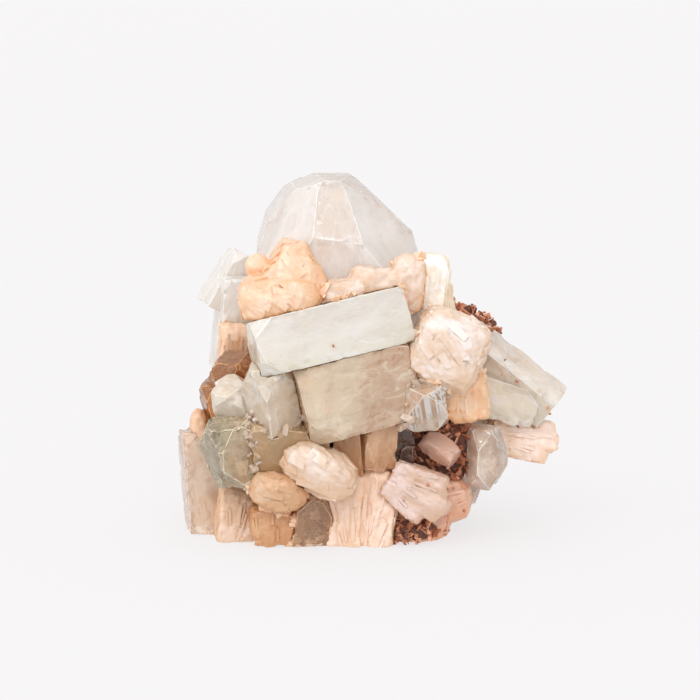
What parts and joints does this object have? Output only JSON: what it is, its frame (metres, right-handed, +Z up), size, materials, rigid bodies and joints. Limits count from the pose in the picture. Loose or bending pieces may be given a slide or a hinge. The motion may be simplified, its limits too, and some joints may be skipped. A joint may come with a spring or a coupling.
{
  "type": "apophyllite cluster",
  "caption": "Hand-size cluster of milky and clear square apophyllite prisms with peach stilbite sheaves and small red crystals on dark rock.",
  "frame": {"origin": "middle of the footprint box at the level of the cut underside", "axes": "+Z up, -Y towards the front face that the picture shows, +X to the viewer's right"},
  "size_m": [0.0936, 0.0678, 0.0852],
  "materials": {
    "milky_apophyllite": "vitreous, cloudy inside",
    "clear_apophyllite": "vitreous, clear with flaws",
    "green_apophyllite": "vitreous, cloudy, faint green",
    "smoky_apophyllite": "vitreous, brownish",
    "peach_stilbite": "pearly",
    "cream_stilbite": "pearly, finely ribbed",
    "red_crust": "satin",
    "dark_basalt": "rough"
  },
  "bodies": {
    "root": {"crown_point": "milky_apophyllite", "back_left_points": "milky_apophyllite", "cross_prism": "milky_apophyllite", "pale_green_block": "green_apophyllite", "right_prism": "clear_apophyllite", "right_smoky_point": "smoky_apophyllite", "left_smoky_points": "smoky_apophyllite", "left_white_pyramid": "milky_apophyllite", "icy_left_crystal": "clear_apophyllite", "green_prism": "green_apophyllite", "far_left_crystal": "clear_apophyllite", "mirror_face_crystal": "smoky_apophyllite", "striated_columns": "cream_stilbite", "small_smoky_crystal": "smoky_apophyllite", "pocket_crystal": "milky_apophyllite", "base_clear_crystal": "clear_apophyllite", "back_upper_prism": "milky_apophyllite", "back_right_prism": "milky_apophyllite", "back_left_prism": "milky_apophyllite", "right_side_points": "clear_apophyllite", "back_base_prism": "clear_apophyllite", "upper_left_stilbite": "peach_stilbite", "crown_base_stilbite": "peach_stilbite", "upper_right_stilbite_blades": "peach_stilbite", "stilbite_ball": "peach_stilbite", "striped_stilbite": "peach_stilbite", "right_stilbite_tab": "cream_stilbite", "left_stilbite_bud": "peach_stilbite", "left_stilbite_column": "peach_stilbite", "large_stilbite_egg": "peach_stilbite", "small_stilbite_egg": "peach_stilbite", "base_white_stilbite": "cream_stilbite", "base_peach_stilbite": "peach_stilbite", "front_stilbite_fan": "cream_stilbite", "front_right_stilbite_fan": "cream_stilbite", "lower_right_stilbite": "cream_stilbite", "left_side_stilbite": "peach_stilbite", "back_upper_stilbite": "peach_stilbite", "back_left_stilbite": "peach_stilbite", "back_lower_stilbite": "cream_stilbite", "back_middle_stilbite": "peach_stilbite", "back_right_stilbite": "cream_stilbite", "ridge_crust": "red_crust", "pocket_crust": "red_crust", "base_crust": "red_crust", "basalt_matrix": "dark_basalt"}
  },
  "joints": []
}
